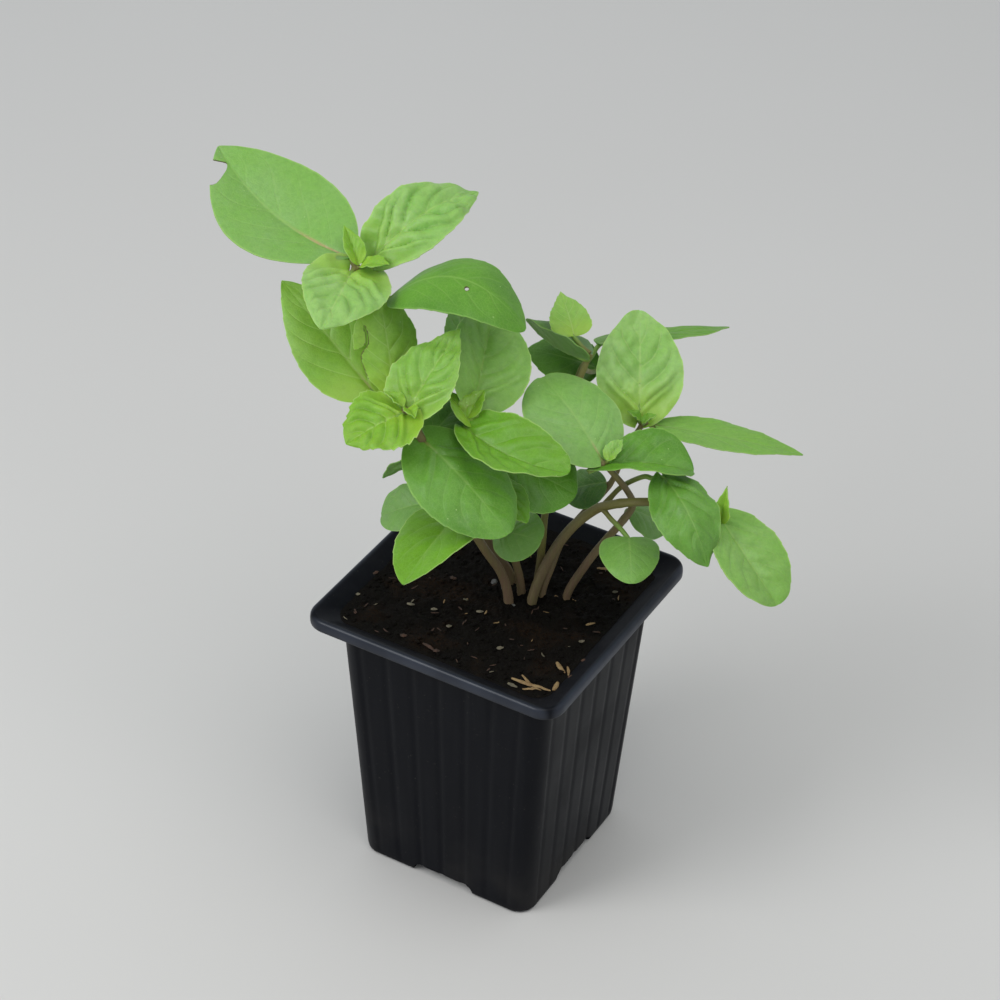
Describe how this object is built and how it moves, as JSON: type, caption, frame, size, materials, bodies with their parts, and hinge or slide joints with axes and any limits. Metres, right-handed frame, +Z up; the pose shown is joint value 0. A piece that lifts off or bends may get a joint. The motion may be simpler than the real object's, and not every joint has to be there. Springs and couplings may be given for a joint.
{
  "type": "potted basil",
  "caption": "Young basil plant with broad green leaves on slim branching stems, growing in dark soil in a square black plastic nursery pot",
  "frame": {"origin": "centre of the flat underside of the pot, where it rests", "axes": "+Z is up, and +X and +Y run square to the pot's sides; the tallest stem leans towards -X"},
  "size_m": [0.2061, 0.1401, 0.2199],
  "materials": {
    "pot": "satin",
    "soil": "matte",
    "leafy_stem_tall_left": "satin",
    "leafy_stem_front_left": "satin",
    "leafy_stem_front_middle": "satin",
    "leafy_stem_middle": "satin",
    "leafy_stem_right_back": "satin",
    "leafy_stem_right": "satin",
    "leafy_stem_back": "satin"
  },
  "bodies": {
    "root": {"pot": "pot", "soil": "soil", "leafy_stem_tall_left": "leafy_stem_tall_left", "leafy_stem_front_left": "leafy_stem_front_left", "leafy_stem_front_middle": "leafy_stem_front_middle", "leafy_stem_middle": "leafy_stem_middle", "leafy_stem_right_back": "leafy_stem_right_back", "leafy_stem_right": "leafy_stem_right", "leafy_stem_back": "leafy_stem_back"}
  },
  "joints": []
}
